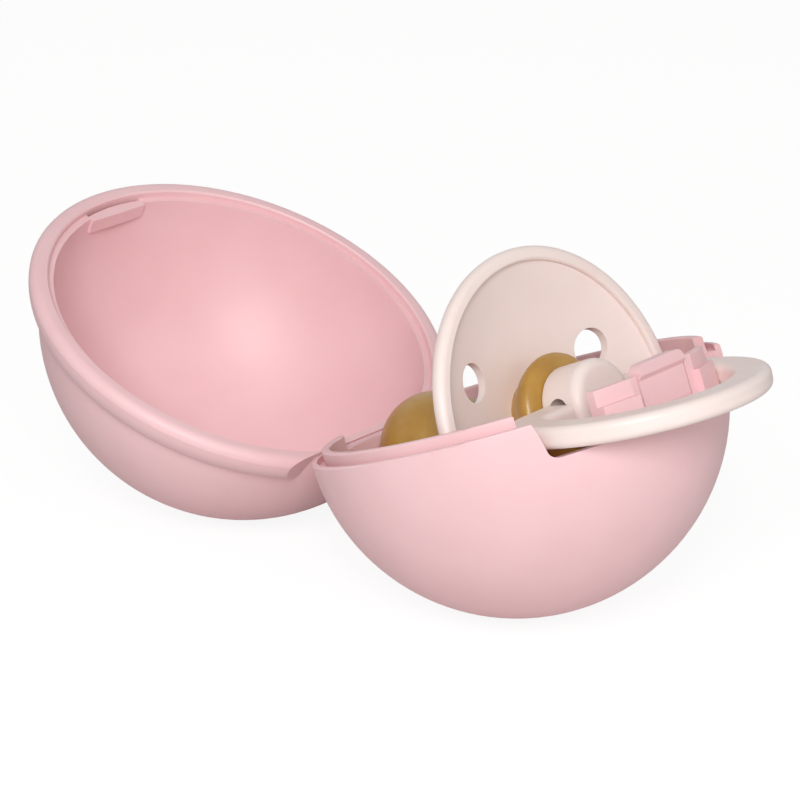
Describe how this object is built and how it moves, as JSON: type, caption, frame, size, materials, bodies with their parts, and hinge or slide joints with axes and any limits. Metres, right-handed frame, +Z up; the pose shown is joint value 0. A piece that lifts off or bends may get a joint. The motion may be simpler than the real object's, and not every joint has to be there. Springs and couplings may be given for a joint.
{
  "type": "pacifier sterilizer case",
  "caption": "Round snap-shut case of two hinged plastic bowls, lid open, holding a pacifier whose ring passes out through notches beside the latch.",
  "frame": {"origin": "centre of the bounding box's underside, on the surface the open case stands on", "axes": "+X from the lid to the base and its latch, +Y along the hinge line, +Z up"},
  "size_m": [0.1138, 0.061, 0.0488],
  "materials": {
    "case_plastic": "soft satin pink polypropylene",
    "pacifier_plastic": "pale blush satin polypropylene",
    "teat_rubber": "translucent amber natural rubber"
  },
  "bodies": {
    "base": {"base_shell": "case_plastic"},
    "tongue": {"latch_tongue": "case_plastic"},
    "film": {"hinge_film": "case_plastic"},
    "lid": {"lid_shell": "case_plastic"},
    "pacifier": {"shield": "pacifier_plastic", "teat": "teat_rubber", "knob": "pacifier_plastic"},
    "ring": {"ring": "pacifier_plastic"}
  },
  "joints": [
    {"name": "lid_fold", "type": "hinge", "parent": "base", "child": "lid", "pos_m": [-0.00402, 0, 0.01716], "axis": [0, 1, 0], "range_deg": [0, 133]},
    {"name": "film_fold", "type": "hinge", "parent": "base", "child": "film", "pos_m": [-0.00357, 0, 0.01686], "axis": [0, 1, 0], "range_deg": [0, 66.5]},
    {"name": "tongue_flex", "type": "hinge", "parent": "base", "child": "tongue", "pos_m": [0.04446, 0, 0.03469], "axis": [0, -1, 0], "range_deg": [0, 7], "stiffness_Nm_per_rad": 0.08},
    {"name": "pacifier_lift", "type": "slide", "parent": "base", "child": "pacifier", "axis": [-0.3875, 0, 0.9219], "range_m": [0, 0.05]},
    {"name": "ring_swing", "type": "hinge", "parent": "pacifier", "child": "ring", "pos_m": [0.03226, -0.00015, 0.03107], "axis": [-0.001, -1, 0.0022], "range_deg": [0, 103]}
  ],
  "couplings": [
    {"joint": "film_fold", "follows": "lid_fold", "ratio": 0.5}
  ]
}
